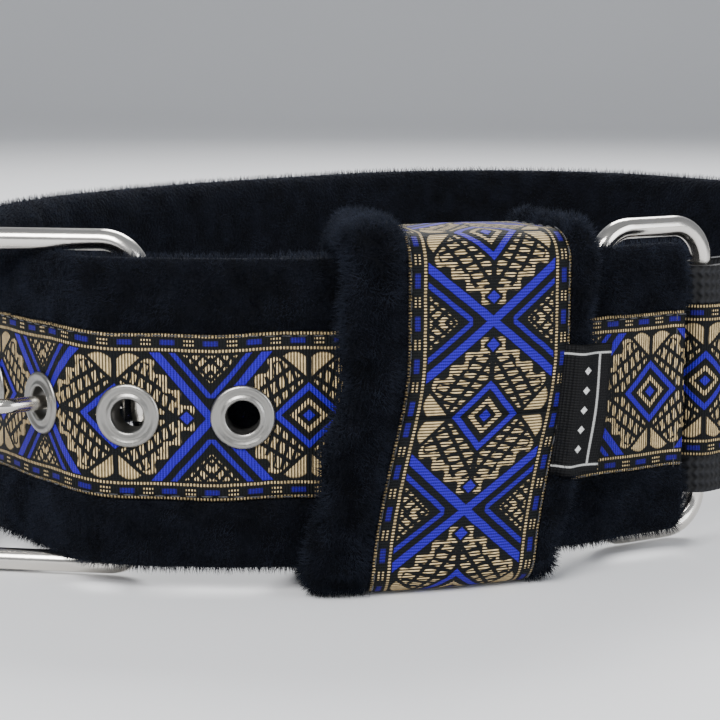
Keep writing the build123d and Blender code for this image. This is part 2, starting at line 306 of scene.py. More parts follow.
def ribbon_finish():
    """Jacquard: cream and blue floats on black, from millimetres along (u) and across (v)."""
    finish = Finish("ribbon_weave", Roughness=0.5, Specular_IOR_Level=0.14)
    u, v = finish.uv()
    wobble = finish.noise(500.0, 2.0) - 0.5
    half = PATTERN_LENGTH / 2
    along = (u + wobble * 0.22).fold(half)           # from the centre of a diamond to a crossing
    across = abs(v + wobble * 0.15)
    to_cross = half - along
    pick = u.wave(PICK) * 0.5 + 0.5                  # threads laid across the ribbon
    warp = v.wave(WARP) * 0.5 + 0.5
    floats = (pick - 0.46).step(0.28)
    soft = 0.16
    field = (FIELD_HALF - across).step(soft)

    # blue: the diamond's outline and heart, the crossing bars, their inner chevrons, the small lozenges
    ring = along + across
    diamond = (0.55 - abs(ring - DIAMOND_OUT)).step(soft)
    heart = (HEART - ring).step(soft)
    bar = (0.74 - abs(to_cross - across * BAR_SLOPE)).step(soft)
    chevron = (0.42 - abs(to_cross - (across - 3.0) * BAR_SLOPE)).step(soft) * (across - 3.1).step(soft)
    lozenge = (0.95 - (abs(to_cross - LOZENGE_AT) + across)).step(soft)
    blue = diamond.most(heart).most(bar).most(chevron * 0.8).most(lozenge) * field

    # cream: the inner diamond, the flower's lobed leaves, its solid petals and the side triangles
    inner = (0.42 - abs(ring - DIAMOND_IN)).step(soft)
    depth = FLOWER_DEPTH - (across * 0.63 + along * 0.775)   # in from the flower's outline
    round_it = across * 0.775 - along * 0.63         # along the outline
    lobe = (round_it + 0.55).wave(2.9)
    shape = (depth + lobe * 0.55 + 0.35).step(0.25) * (ring - 5.75).step(0.25) * (across - 0.42).step(0.15)
    columns = ((round_it + depth * 0.75).wave(1.55) + 0.30).step(0.35)
    rows = ((depth + 0.3 - round_it * 0.25).wave(2.1) + 0.55).step(0.35)
    leaf = columns * rows
    rim = (0.34 - abs(depth + lobe * 0.55 - 0.10)).step(0.25)
    calm = (along - (across - 5.2) * 1.08 - 0.5).step(0.25)
    clear = (abs(to_cross - LOZENGE_AT) + across - 1.5).step(0.2)
    leaves = shape * leaf.most(rim) * calm * clear
    fan = ((across - 5.7) * 1.06 + 0.2 - along).step(0.2) * (along - 0.40).step(0.15)
    petals = fan * (9.35 - across - (along - 2.0) * (along - 2.0) * 0.28).step(0.25) * (3.7 - along).step(0.3)
    corner = ((across - 5.2) * 0.90 - to_cross).step(0.25) * (9.3 - across).step(0.2)
    side_columns = ((to_cross + across * 0.8).wave(1.5) + 0.25).step(0.35)
    sides = corner * side_columns * ((to_cross - across * 0.8).wave(2.0) + 0.6).step(0.35)
    cream = inner.most(leaves).most(sides) * floats
    cream = cream.most(petals * (floats * 0.8 + 0.2))
    cream = cream * field * (1.0 - blue)

    # borders: two lines of cream dots, with dashes of blue and cream between them
    dots = (u.wave(0.46) + 0.15).step(0.9)
    near_line, far_line = ((0.20 - abs(across - place)).step(0.12) for place in BORDER_LINES)
    cycle = u.wave(PATTERN_LENGTH / 4.5)
    dash_blue = (cycle - 0.50).step(0.2) * (0.38 - abs(across - BORDER_MIDDLE)).step(0.14)
    dash_cream = (-0.76 - cycle).step(0.15) * (0.13 - abs(abs(across - BORDER_MIDDLE) - 0.30)).step(0.1)
    cream = cream.most(near_line.most(far_line) * dots * 0.9).most(dash_cream * floats)
    blue = blue.most(dash_blue * 0.45)

    shade = finish.noise(1100.0, 2.0)
    ground = finish.mix(pick * 0.7 + warp * 0.2, rgb(0.0006, 0.0008, 0.0011), rgb(0.0038, 0.0050, 0.0058))
    blue_thread = finish.mix(pick * 0.65 + warp * 0.25, rgb(0.010, 0.0, 0.13), rgb(0.026, 0.0, 0.48))
    cream_thread = finish.mix(shade * 0.7 + floats * 0.35, rgb(0.18, 0.13, 0.055), rgb(0.84, 0.63, 0.33))
    finish.set("Base Color", finish.mix(cream, finish.mix(blue, ground, blue_thread), cream_thread))
    finish.set("Roughness", 0.66 - blue * 0.16 - cream * 0.14)
    raised = cream * 0.6 + blue * 0.4
    finish.bump(raised * (pick * 0.6 + 0.5) + pick * 0.3 + warp * 0.1, 0.00022, 0.8)
    return finish.material


RIBBON = ribbon_finish()


def nickel_finish():
    finish = Finish("polished_nickel", Metallic=1.0, Roughness=0.18)
    cloud = finish.noise(90.0, 4.0)
    scratch = finish.noise(1400.0, 2.0)
    finish.set("Base Color", finish.mix(cloud, rgb(0.60, 0.57, 0.52), rgb(0.78, 0.75, 0.70)))
    finish.set("Roughness", cloud * 0.14 + scratch * 0.08 + 0.08)
    finish.bump(scratch * 0.5 + cloud, 0.00005, 0.25)
    return finish.material


def eyelet_finish():
    finish = Finish("eyelet_metal", Metallic=1.0, Roughness=0.34)
    cloud = finish.noise(160.0, 3.0)
    grain = finish.noise(2400.0, 2.0)
    finish.set("Base Color", finish.mix(cloud, rgb(0.22, 0.215, 0.20), rgb(0.36, 0.35, 0.33)))
    finish.set("Roughness", cloud * 0.15 + grain * 0.18 + 0.18)
    finish.bump(grain, 0.00006, 0.35)
    return finish.material


LABEL_BORDER = 8.6          # border line from the label's middle


def label_finish():
    """A blank satin label with a generic border line."""
    finish = Finish("label_satin", Roughness=0.6, Specular_IOR_Level=0.12)
    u, v = finish.uv()
    thread = (u.wave(0.34) * 0.5 + v.wave(0.42) * 0.5) * 0.5 + 0.5
    ends = (0.16 - abs(abs(v) - LABEL_BORDER)).step(0.12)
    long_line = (0.16 - abs(u - 4.9)).step(0.12) * (LABEL_BORDER - abs(v)).step(0.1)
    border = ends.most(long_line)
    bead = (0.62 - abs(u - 2.9) - abs(v.fold(1.5))).step(0.16) * (7.2 - abs(v)).step(0.2)
    cloth = finish.mix(thread, rgb(0.0012, 0.0012, 0.0015), rgb(0.005, 0.0052, 0.006))
    finish.set("Base Color", finish.mix((border * 0.6).most(bead), cloth, rgb(0.62, 0.62, 0.60)))
    finish.bump(thread + border + bead, 0.00012, 0.7)
    return finish.material


def thread_finish():
    finish = Finish("sewing_thread", Roughness=0.6, Sheen_Weight=0.3)
    twist = finish.noise(2600.0, 1.0)
    finish.set("Base Color", finish.mix(twist, rgb(0.004, 0.004, 0.006), rgb(0.040, 0.042, 0.050)))
    finish.bump(twist, 0.0001, 0.8)
    return finish.material


NICKEL = nickel_finish()
EYELET = eyelet_finish()
LABEL = label_finish()
THREAD = thread_finish()


# ======================================================================
# Mesh helpers
# ======================================================================
def new_piece(name, vertices, faces, material, uvs=None):
    mesh = bpy.data.meshes.new(name)
    mesh.from_pydata(vertices, [], faces)
    if uvs is not None:
        layer = mesh.uv_layers.new(name="weave")
        loops = np.zeros(len(mesh.loops), np.int32)
        mesh.loops.foreach_get("vertex_index", loops)
        layer.data.foreach_set("uv", np.array(uvs, np.float32)[loops].ravel())
    mesh.polygons.foreach_set("use_smooth", [True] * len(mesh.polygons))
    mesh.materials.append(material)
    piece = bpy.data.objects.new(name, mesh)
    bpy.context.scene.collection.objects.link(piece)
    return piece


def outward(piece, merge=0.0):
    bm = bmesh.new()
    bm.from_mesh(piece.data)
    if merge:
        bmesh.ops.remove_doubles(bm, verts=bm.verts, dist=merge)
    bmesh.ops.recalc_face_normals(bm, faces=bm.faces)
    bm.to_mesh(piece.data)
    bm.free()


def loft(name, sections, material, uvs=None, closed=False):
    """A skin over equal sections, each a closed ring of points, with capped ends."""
    count, ring = len(sections), len(sections[0])
    vertices = [point for section in sections for point in section]
    faces = []
    last = count if closed else count - 1
    for i in range(last):
        a, b = i * ring, ((i + 1) % count) * ring
        faces += [(a + j, a + (j + 1) % ring, b + (j + 1) % ring, b + j) for j in range(ring)]
    if not closed:
        faces.append(tuple(range(ring)))
        faces.append(tuple((count - 1) * ring + j for j in reversed(range(ring))))
    flat = [uv for row in uvs for uv in row] if uvs else None
    piece = new_piece(name, vertices, faces, material, flat)
    outward(piece)
    return piece


def store(skin, name, values):
    """Keep one number for each of a skin's points."""
    layer = skin.data.attributes.new(name, "FLOAT", "POINT")
    layer.data.foreach_set("value", np.array(values, np.float32))


def both_faces(places):
    """(side, place) along a strip's face, then back along its underside."""
    return [(1, place) for place in places] + [(-1, place) for place in places[::-1]]


def soft_rectangle(steps, across_power, up_power):
    """Points round a rectangle with soft corners, from -1 to 1 across and up. Low powers are squarer."""
    points = []
    for i in range(steps):
        spin = 2 * pi * (i + 0.5) / steps
        across = abs(cos(spin)) ** across_power * (1 if cos(spin) > 0 else -1)
        up = abs(sin(spin)) ** up_power * (1 if sin(spin) > 0 else -1)
        points.append((across, up))
    return points


def rounding(end, reach):
    """A quarter circle's rise from 0 at an end to 1 at its reach."""
    return (1 - (1 - min(max(end, 0.0) / reach, 1.0)) ** 2) ** 0.5


def ride(piece, body, slot, *replaced):
    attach(piece, body)
    if replaced:
        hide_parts(*replaced)


# ======================================================================
# Geometry Nodes: pile on a plush skin, and stitches along a line
# ======================================================================
def make_tree(name, sizes):
    """An empty tree with a geometry input, named number inputs and a geometry output."""
    tree = bpy.data.node_groups.new(name, "GeometryNodeTree")
    tree.interface.new_socket("Geometry", in_out="INPUT", socket_type="NodeSocketGeometry")
    for size in sizes:
        tree.interface.new_socket(size, in_out="INPUT", socket_type="NodeSocketFloat")
    tree.interface.new_socket("Geometry", in_out="OUTPUT", socket_type="NodeSocketGeometry")
    start, end = tree.nodes.new("NodeGroupInput"), tree.nodes.new("NodeGroupOutput")

    def add(kind, settings=None, **inputs):
        node = tree.nodes.new(kind)
        for key, value in (settings or {}).items():
            setattr(node, key, value)
        for key, value in inputs.items():
            slot = node.inputs[int(key[1:])] if key[0] == "i" and key[1:].isdigit() else node.inputs[key]
            if isinstance(value, bpy.types.NodeSocket):
                tree.links.new(value, slot)
            else:
                slot.default_value = value
        return node

    return tree, start, end, add


def run_tree(source, tree, name, values):
    """The tree's result on a source object, as a plain mesh object."""
    modifier = source.modifiers.new("grow", "NODES")
    modifier.node_group = tree
    for item in tree.interface.items_tree:
        if item.in_out == "INPUT" and item.name in values:
            modifier[item.identifier] = values[item.name]
    depsgraph = bpy.context.evaluated_depsgraph_get()
    mesh = bpy.data.meshes.new_from_object(source.evaluated_get(depsgraph))
    source.modifiers.remove(modifier)
    piece = bpy.data.objects.new(name, mesh)
    bpy.context.scene.collection.objects.link(piece)
    return piece


def fibre_shape(thin=0.045):
    """One tapered fibre, a unit long."""
    base = [(thin * cos(a), thin * sin(a), -0.12) for a in (0.0, 2 * pi / 3, 4 * pi / 3)]
    piece = new_piece("fibre", base + [(0.12, 0.0, 1.0)], [(0, 1, 3), (1, 2, 3), (2, 0, 3)], PILE)
    piece.hide_render = True
    return piece


FIBRE = fibre_shape()


STRAY = 0.35                # how far a fibre may lean off its clump


def pile_tree():
    tree, start, end, add = make_tree("pile", ["Density", "Length", "Clump Size", "Lean"])
    weight = add("GeometryNodeInputNamedAttribute", {"data_type": "FLOAT"}, Name="pile")
    density = add("ShaderNodeMath", {"operation": "MULTIPLY"}, i0=weight.outputs[0],
                  i1=start.outputs["Density"])
    scatter = add("GeometryNodeDistributePointsOnFaces", None, Mesh=start.outputs[0], Seed=7)
    tree.links.new(density.outputs[0], scatter.inputs["Density"])
    place = add("GeometryNodeInputPosition")
    clump = add("ShaderNodeTexNoise", {"noise_dimensions": "3D"}, Vector=place.outputs[0], Detail=2.0)
    tree.links.new(start.outputs["Clump Size"], clump.inputs["Scale"])
    centred = add("ShaderNodeVectorMath", {"operation": "SUBTRACT"}, i0=clump.outputs["Color"],
                  i1=(0.5, 0.5, 0.55))
    lean = add("ShaderNodeVectorMath", {"operation": "SCALE"}, i0=centred.outputs[0])
    tree.links.new(start.outputs["Lean"], lean.inputs["Scale"])
    stray = add("FunctionNodeRandomValue", {"data_type": "FLOAT_VECTOR"}, i0=(-STRAY,) * 3, i1=(STRAY,) * 3,
                Seed=3)
    aim = add("ShaderNodeVectorMath", {"operation": "ADD"}, i0=lean.outputs[0], i1=stray.outputs[0])
    aimed = add("ShaderNodeVectorMath", {"operation": "ADD"}, i0=aim.outputs[0], i1=scatter.outputs["Normal"])
    turn = add("FunctionNodeAlignRotationToVector", {"axis": "Z"}, Vector=aimed.outputs[0])
    spin = add("FunctionNodeRandomValue", {"data_type": "FLOAT"}, Seed=5)
    spin.inputs[2].default_value, spin.inputs[3].default_value = -pi, pi
    around = add("FunctionNodeAxisAngleToRotation", None, Axis=(0, 0, 1), Angle=spin.outputs[1])
    rotation = add("FunctionNodeRotateRotation", {"rotation_space": "LOCAL"}, i0=turn.outputs[0],
                   i1=around.outputs[0])
    sizes = add("FunctionNodeRandomValue", {"data_type": "FLOAT"}, Seed=9)
    sizes.inputs[2].default_value, sizes.inputs[3].default_value = 0.65, 1.25
    scale = add("ShaderNodeMath", {"operation": "MULTIPLY"}, i0=sizes.outputs[1], i1=start.outputs["Length"])
    shape = add("GeometryNodeObjectInfo", None, Object=FIBRE)
    copies = add("GeometryNodeInstanceOnPoints", None, Points=scatter.outputs[0],
                 Instance=shape.outputs["Geometry"], Rotation=rotation.outputs[0])
    tree.links.new(scale.outputs[0], copies.inputs["Scale"])
    real = add("GeometryNodeRealizeInstances", None, Geometry=copies.outputs[0])
    coated = add("GeometryNodeSetMaterial", None, Geometry=real.outputs[0], Material=PILE)
    tree.links.new(coated.outputs[0], end.inputs[0])
    return tree


PILE_TREE = pile_tree()


def grow_pile(skin, name, per_mm2, length, lean=1.1):
    values = {"Density": per_mm2 / MM ** 2, "Length": length * MM, "Clump Size": 330.0, "Lean": lean}
    return run_tree(skin, PILE_TREE, name, values)


def stitch_tree():
    tree, start, end, add = make_tree("stitches", ["Spacing", "Thickness", "Length"])
    points = add("GeometryNodeResampleCurve", None, Curve=start.outputs[0])
    spread = [item for item in points.inputs if item.name == "Length"][0]
    points.mode = "LENGTH"
    tree.links.new(start.outputs["Spacing"], spread)
    path = add("GeometryNodeInputTangent")
    turn = add("FunctionNodeAlignRotationToVector", {"axis": "Z"}, Vector=path.outputs[0])
    bead = add("GeometryNodeMeshUVSphere", None, Segments=6, Rings=4, Radius=0.5)
    size = add("ShaderNodeCombineXYZ", None, X=start.outputs["Thickness"], Y=start.outputs["Thickness"],
               Z=start.outputs["Length"])
    copies = add("GeometryNodeInstanceOnPoints", None, Points=points.outputs[0], Instance=bead.outputs[0],
                 Rotation=turn.outputs[0], Scale=size.outputs[0])
    real = add("GeometryNodeRealizeInstances", None, Geometry=copies.outputs[0])
    coated = add("GeometryNodeSetMaterial", None, Geometry=real.outputs[0], Material=THREAD)
    tree.links.new(coated.outputs[0], end.inputs[0])
    return tree


STITCH_TREE = stitch_tree()


def stitched(name, lines, spacing=2.6, length=1.9, thickness=0.34):
    """Thread stitches along several lines of points."""
    data = bpy.data.curves.new(name + "_line", "CURVE")
    data.dimensions = "3D"
    for line in lines:
        spline = data.splines.new("POLY")
        spline.points.add(len(line) - 1)
        for point, place in zip(spline.points, line):
            point.co = (*place, 1.0)
    guide = bpy.data.objects.new(name + "_line", data)
    bpy.context.scene.collection.objects.link(guide)
    piece = run_tree(guide, STITCH_TREE, name, {"Spacing": spacing * MM, "Thickness": thickness * MM,
                                                "Length": length * MM})
    bpy.data.objects.remove(guide)
    return piece


def cut(piece, cutter):
    """Take the cutter out of the piece."""
    modifier = piece.modifiers.new("holes", "BOOLEAN")
    modifier.object = cutter
    modifier.solver = "EXACT"
    depsgraph = bpy.context.evaluated_depsgraph_get()
    mesh = bpy.data.meshes.new_from_object(piece.evaluated_get(depsgraph))
    piece.modifiers.remove(modifier)
    piece.data = mesh


# ======================================================================
# Pieces that follow the long strap
# ======================================================================
def lathe(profile, sides, material, name, frames):
    """Rings turned from one closed profile of (radius, height), one at each frame."""
    vertices, faces, count = [], [], len(profile)
    for origin, right, up, axis in frames:
        base = len(vertices)
        for i in range(sides):
            spin = 2 * pi * i / sides
            spoke = right * cos(spin) + up * sin(spin)
            vertices += [tuple(origin + (spoke * r + axis * h) * MM) for r, h in profile]
        for i in range(sides):
            a, b = base + i * count, base + (i + 1) % sides * count
            faces += [(a + j, a + (j + 1) % count, b + (j + 1) % count, b + j) for j in range(count)]
    piece = new_piece(name, vertices, faces, material)
    outward(piece)
    return piece


def strap_frame(distance, height=MID_Z):
    point, heading = strap.at(distance)
    axis, along = unit(heading + 90), unit(heading)
    origin = Vector((point[0] * MM, point[1] * MM, height * MM))
    return origin, Vector((along[0], along[1], 0)), Vector((0, 0, 1)), Vector((axis[0], axis[1], 0))


def hole_cutter(radius):
    profile = [(0.02, -9.0), (radius, -9.0), (radius, 9.0), (0.02, 9.0)]
    cutter = lathe(profile, 32, PLUSH, "cutter", [strap_frame(distance) for distance in EYELETS])
    cutter.hide_render = True
    return cutter


RIBBON_HALF = RIBBON_WIDTH / 2
TAIL = 21.0


PLUSH_HALF = 24.7           # half the strap's height over its plush
PLUSH_MIDDLE = 0.2          # the straps' middle, out from the webbing's line
PLUSH_STEPS = 44            # points on each side of a section


def plush_section(distance):
    """(out, height, pile) points round the plush at one place on the strap."""
    crowded = 1 - smooth(HEEL + 24, HEEL + 46, distance)         # beside the keeper, buckle and short strap
    tail = smooth(strap.length - TAIL - 2, strap.length - TAIL + 1, distance)
    end = min(distance, strap.length - 1.0 - distance)
    round_off = rounding(end, 2.2)
    end_share = 0.35 + 0.65 * round_off
    edge = (PLUSH_HALF - 1.15 * crowded - 0.9 * tail) - 1.8 * (1 - round_off)
    bulge = (2.1 - 1.35 * crowded) * (0.9 + 0.1 * sin(distance * 0.31)) * (1 - 0.6 * tail)
    puff = 2.0 * (1 - crowded) * (0.85 + 0.15 * sin(distance * 0.23 + 1.0))
    heights = [-edge + 2 * edge * (0.5 - 0.5 * cos(pi * (i + 0.5) / PLUSH_STEPS)) for i in range(PLUSH_STEPS)]
    points = []
    for z in heights:                                            # outer side, bottom to top
        rim = (1 - (abs(z) / edge) ** 10) ** 0.5
        covered = smooth(RIBBON_HALF - 0.3, RIBBON_HALF + 2.4, abs(z))
        out = FACING_FACE - 0.05 + bulge * covered * (0.35 + 0.65 * rim)
        out = PLUSH_MIDDLE + (out - PLUSH_MIDDLE) * (0.25 + 0.75 * rim) * end_share
        points.append((out, z, 1.0 if abs(z) > RIBBON_HALF + 0.4 else 0.0))
    middle = PLUSH_MIDDLE + 0.56 * tail
    weight = (1.0 if tail < 0.5 else 0.0) * (1.0 - 0.75 * crowded)
    for z in reversed(heights):                                  # neck side, top to bottom
        rim = (1 - (abs(z) / edge) ** 6) ** 0.5
        into = (LINING_FACE + 0.05 - puff * rim) * (1 - tail) + 0.76 * tail
        points.append((middle + (into - middle) * (0.25 + 0.75 * rim) * end_share, z, weight))
    return points


def lump(x, y, seed):
    return sin(x * 0.9 + seed) * sin(y * 0.7 + seed * 2.1) + 0.5 * sin(x * 2.1 - y * 1.3 + seed)


def strap_plush():
    sections, weights = [], []
    stations = np.concatenate([np.array([0.0, 0.5, 1.1, 1.8]), np.arange(3.0, strap.length - 3.4, 1.6),
                               strap.length - np.array([3.2, 2.4, 1.6, 1.02])])
    for distance in stations:
        ring = []
        for i, (out, z, weight) in enumerate(plush_section(distance)):
            bump = 0.16 * lump(distance * 0.6, z * 0.6, 1.0 if i < PLUSH_STEPS else 4.0) * weight
            ring.append(strap.place(distance, out + bump * (1 if i < PLUSH_STEPS else -1), MID_Z + z))
            weights.append(weight)
        sections.append(ring)
    skin = loft("strap_plush", sections, PLUSH)
    distances = np.repeat(stations, len(sections[0]))
    for name, values in (("pile", weights), ("pile_whole", weights), ("distance", distances)):
        store(skin, name, values)
    return skin


RIBBON_DIAMOND = 65.0       # distance from the tip to a diamond's centre
STRAP_REPEAT = 28.6         # the pattern's repeat along the strap


def strap_ribbon():
    sections, uvs = [], []
    across = np.linspace(-RIBBON_HALF, RIBBON_HALF, 27)
    for distance in np.arange(1.0, strap.length - 0.9, 1.0):
        wave = 0.25 * sin(distance * 0.13) + 0.12 * sin(distance * 0.37 + 1)
        ring, row = [], []
        u = (distance - RIBBON_DIAMOND) * PATTERN_LENGTH / STRAP_REPEAT
        for side, v in both_faces(across):
            edge = 1 - smooth(0.0, 0.9, RIBBON_HALF - abs(v))
            out = FACING_FACE + (0.50 - 0.22 * edge if side > 0 else 0.02)
            ring.append(strap.place(distance, out, MID_Z + v + wave))
            row.append((u, v * PATTERN_WIDTH / RIBBON_WIDTH))
        sections.append(ring)
        uvs.append(row)
    return loft("strap_ribbon", sections, RIBBON, uvs)


PILE_BANDS = [("front", -9.0, 62.0, 15.0), ("holes", 62.0, 122.0, 15.0), ("side", 122.0, 215.0, 5.5),
              ("back", 215.0, 315.0, 5.5), ("rear", 315.0, 450.0, 5.0)]


def weigh_band(skin, low, high):
    """Keep the pile only on a stretch of the strap, between two distances from its tip."""
    whole, shown = skin.data.attributes["pile_whole"], skin.data.attributes["pile"]
    along = skin.data.attributes["distance"]
    weights, distances = np.zeros(len(whole.data), np.float32), np.zeros(len(whole.data), np.float32)
    whole.data.foreach_get("value", weights)
    along.data.foreach_get("value", distances)
    weights[(distances < low) | (distances >= high)] = 0.0
    shown.data.foreach_set("value", weights)


HOLE_CUT = 2.97             # hole through the soft layers, against the eyelet's barrel
holes = hole_cutter(HOLE_CUT)
plush = strap_plush()
cut(plush, holes)
weave = strap_ribbon()
cut(weave, holes)
bpy.data.objects.remove(holes)
ride(plush, "collar", "plush", "main_lining", "main_facing")
for name, low, high, per_mm2 in PILE_BANDS:
    weigh_band(plush, low, high)
    ride(grow_pile(plush, "strap_pile_" + name, per_mm2, 1.15, 1.4), "collar", "plush")
ride(weave, "collar", "ribbon", "main_ribbon")

edge_lines = []
for side in (-1, 1):
    edge_lines.append([strap.place(d, RIBBON_FACE - 0.02, MID_Z + side * (RIBBON_HALF - 0.55))
                       for d in np.arange(1.6, strap.length - 1.6, 2.0)])
edge_lines.append([strap.place(2.6, RIBBON_FACE, MID_Z + v) for v in np.linspace(-12.0, 12.0, 20)])
for row in (4.0, 14.5):
    edge_lines.append([strap.place(strap.length - row, RIBBON_FACE, MID_Z + v)
                       for v in np.linspace(-12, 12, 20)])
ride(stitched("strap_stitches", edge_lines, 2.4, 1.7, 0.22), "collar", "webbing")

# ---- Eyelets: a rolled outer rim, a groove and a raised lip round the hole ----
EYELET_PROFILE = [
    (2.50, -2.25), (2.50, 2.30), (2.56, 2.56), (2.70, 2.74), (2.90, 2.80), (3.10, 2.74), (3.28, 2.60),
    (3.50, 2.53), (3.75, 2.56), (4.02, 2.68), (4.30, 2.76), (4.58, 2.72), (4.80, 2.56), (4.90, 2.34),
    (4.86, 2.22), (2.96, 2.22), (2.96, -2.25)]
eyelets = lathe(EYELET_PROFILE, 48, EYELET, "eyelets", [strap_frame(distance) for distance in EYELETS])
ride(eyelets, "collar", "eyelet", "eyelet_grommets")


# ======================================================================
# Short strap under the long one
# ======================================================================
def front_place(angle, out, height):
    x, y = at_front(angle, FRONT_R + out)
    return (x * MM, y * MM, height * MM)


LINING_ANGLES = (FRONT_START - FRONT_TURN + 11.2, FRONT_START - 11.2)
LINING_MIDDLE, LINING_HALF = -4.9, 23.2        # middle, out from the long strap's line, and half height
LINING_OUT, LINING_IN = 1.46, 2.2              # from its middle to the webbing side and to the neck side


def under_plush():
    """The lining between the two folds, rounded at its edges and ends."""
    sections, weights = [], []
    first, last = LINING_ANGLES
    for angle in np.linspace(first, last, 26):
        round_off = rounding(radians(min(angle - first, last - angle)) * FRONT_R, 2.0)
        edge = LINING_HALF - 1.4 * (1 - round_off)
        ring = []
        for across, up in soft_rectangle(48, 0.25, 0.55):
            reach = (LINING_OUT if across > 0 else LINING_IN) * (0.4 + 0.6 * round_off)
            ring.append(front_place(angle, LINING_MIDDLE + reach * across, MID_Z + edge * up))
            weights.append(1.0 if across < 0 or abs(up) > 0.97 else 0.0)
        sections.append(ring)
    skin = loft("under_plush", sections, PLUSH)
    store(skin, "pile", weights)
    return skin


under = under_plush()
under_pile = grow_pile(under, "under_pile", 5.0, 1.2)
ride(under, "collar", "plush", "buckle_lining")
ride(under_pile, "collar", "plush")


FACING_ANGLES = (-4.9, FRONT_START - 1.3)
FACING_MIDDLE, FACING_REACH, FACING_HALF = -3.03, 0.34, 22.6


def under_facing():
    """Plush on the outer face of the short strap, seen at its edges and through the eyelets."""
    sections = []
    for angle in np.linspace(*FACING_ANGLES, 40):
        sections.append([front_place(angle, FACING_MIDDLE + FACING_REACH * across, MID_Z + FACING_HALF * up)
                         for across, up in soft_rectangle(32, 0.3, 0.5)])
    return loft("under_facing", sections, PLUSH)


facing = under_facing()
ride(facing, "collar", "plush", "buckle_facing")


# ======================================================================
# Keeper: a plush loop with the woven ribbon round it and a side label
# ======================================================================
KEEPER_LOW, KEEPER_HIGH = -10.4, 3.35     # inner faces, out from the long strap's line
KEEPER_HALF_HEIGHT = 23.8
KEEPER_WALL = 3.0
KEEPER_HALF_WIDTH = 19.0
KEEPER_RIBBON_HALF = 12.5
KEEPER_RIBBON_SHIFT = 2.5
KEEPER_CORNER = 1.2
CORNER_STEPS = 10
SIDE_SLIP = 4.2             # how far the lower half has slipped to the left


def keeper_loop(step):
    """Stations round the keeper's inside: point (out, height), unit normal, distance from its middle."""
    low, high, half, corner = KEEPER_LOW, KEEPER_HIGH, KEEPER_HALF_HEIGHT, KEEPER_CORNER
    centres = [(high - corner, half - corner, 0), (low + corner, half - corner, 90),
               (low + corner, -half + corner, 180), (high - corner, -half + corner, 270)]
    stations = []
    rise = corner + KEEPER_WALL + 0.5
    straight = half - corner
    for i in range(max(2, int(straight / step))):
        z = straight * i / int(straight / step)
        stations.append(((high, z), (1.0, 0.0), z))
    distance = straight
    for k, (cn, cz, first) in enumerate(centres):
        for i in range(CORNER_STEPS):
            turned = 90 * i / CORNER_STEPS
            angle = radians(first + turned)
            place = (cn + corner * cos(angle), cz + corner * sin(angle))
            stations.append((place, (cos(angle), sin(angle)), distance + rise * radians(turned)))
        distance += rise * pi / 2
        run = (high - low - 2 * corner, 2 * (half - corner), high - low - 2 * corner, half - corner)[k]
        angle = radians(first + 90)
        normal = (cos(angle), sin(angle))
        forward = (-sin(angle), cos(angle))
        base = (cn + corner * normal[0], cz + corner * normal[1])
        count = max(2, int(run / step))
        for i in range(count):
            d = run * i / count
            stations.append(((base[0] + forward[0] * d, base[1] + forward[1] * d), normal, distance + d))
        distance += run
    return stations, distance


def keeper_lean(height):
    """How far the keeper leans along the strap at a height, in millimetres."""
    return smooth(-10, 12, height) - SIDE_SLIP * (1 - smooth(-26, 8, height))


def keeper_point(across, station, offset):
    (out, height), (normal_out, normal_up), _ = station
    out, height = out + normal_out * offset, height + normal_up * offset
    slip = keeper_lean(height)
    angle = KEEPER_ANGLE + degrees((across + slip) / FRONT_R)
    return front_place(angle, out, MID_Z + height)


def keeper_plush():
    stations, _ = keeper_loop(1.7)
    profile = []
    half, wall = KEEPER_HALF_WIDTH, KEEPER_WALL
    low_edge, high_edge = KEEPER_RIBBON_SHIFT - KEEPER_RIBBON_HALF, KEEPER_RIBBON_SHIFT + KEEPER_RIBBON_HALF
    for x in np.linspace(-half, half, 46):                       # outer face
        inset = max(low_edge - x, x - high_edge)
        puffed = smooth(-0.4, 2.4, inset)
        end = min(x + half, half - x)
        round_off = rounding(end, 3.0)
        offset = 1.4 + (wall - 1.45) * (0.2 + 0.8 * round_off)
        profile.append((x, offset, puffed * round_off, 1.0 if inset > 0.4 else 0.0))
    for x in np.linspace(half, -half, 14):                       # inner face
        end = min(x + half, half - x)
        profile.append((x, 0.06 + 1.2 * (1 - min(end / 1.2, 1.0)), 0.0, 0.35 if end < 4 else 0.0))
    sections, weights = [], []
    for station in stations:
        (out, height), (normal_out, normal_up), along = station
        top = max(normal_up, 0.0)
        on_front = max(normal_out, 0.0)
        under = 1.0 if normal_up < -0.3 else 0.0
        puff = 2.3 * top + 2.0 * on_front * smooth(-27, -14, height) + 1.4 * max(-normal_out, 0.0)
        puff *= 1 - under
        ring = []
        for x, offset, share, weight in profile:
            bump = 0.22 * lump(along * 0.55, x * 0.6, 2.0) * share
            wide = x + (0.5 * sin(along * 0.35) if abs(x) > half - 3 else 0.0)
            ring.append(keeper_point(wide, station, offset + puff * share * 0.95 + bump))
            weights.append(weight)
        sections.append(ring)
    skin = loft("keeper_plush_tube", sections, PLUSH, closed=True)
    store(skin, "pile", weights)
    return skin


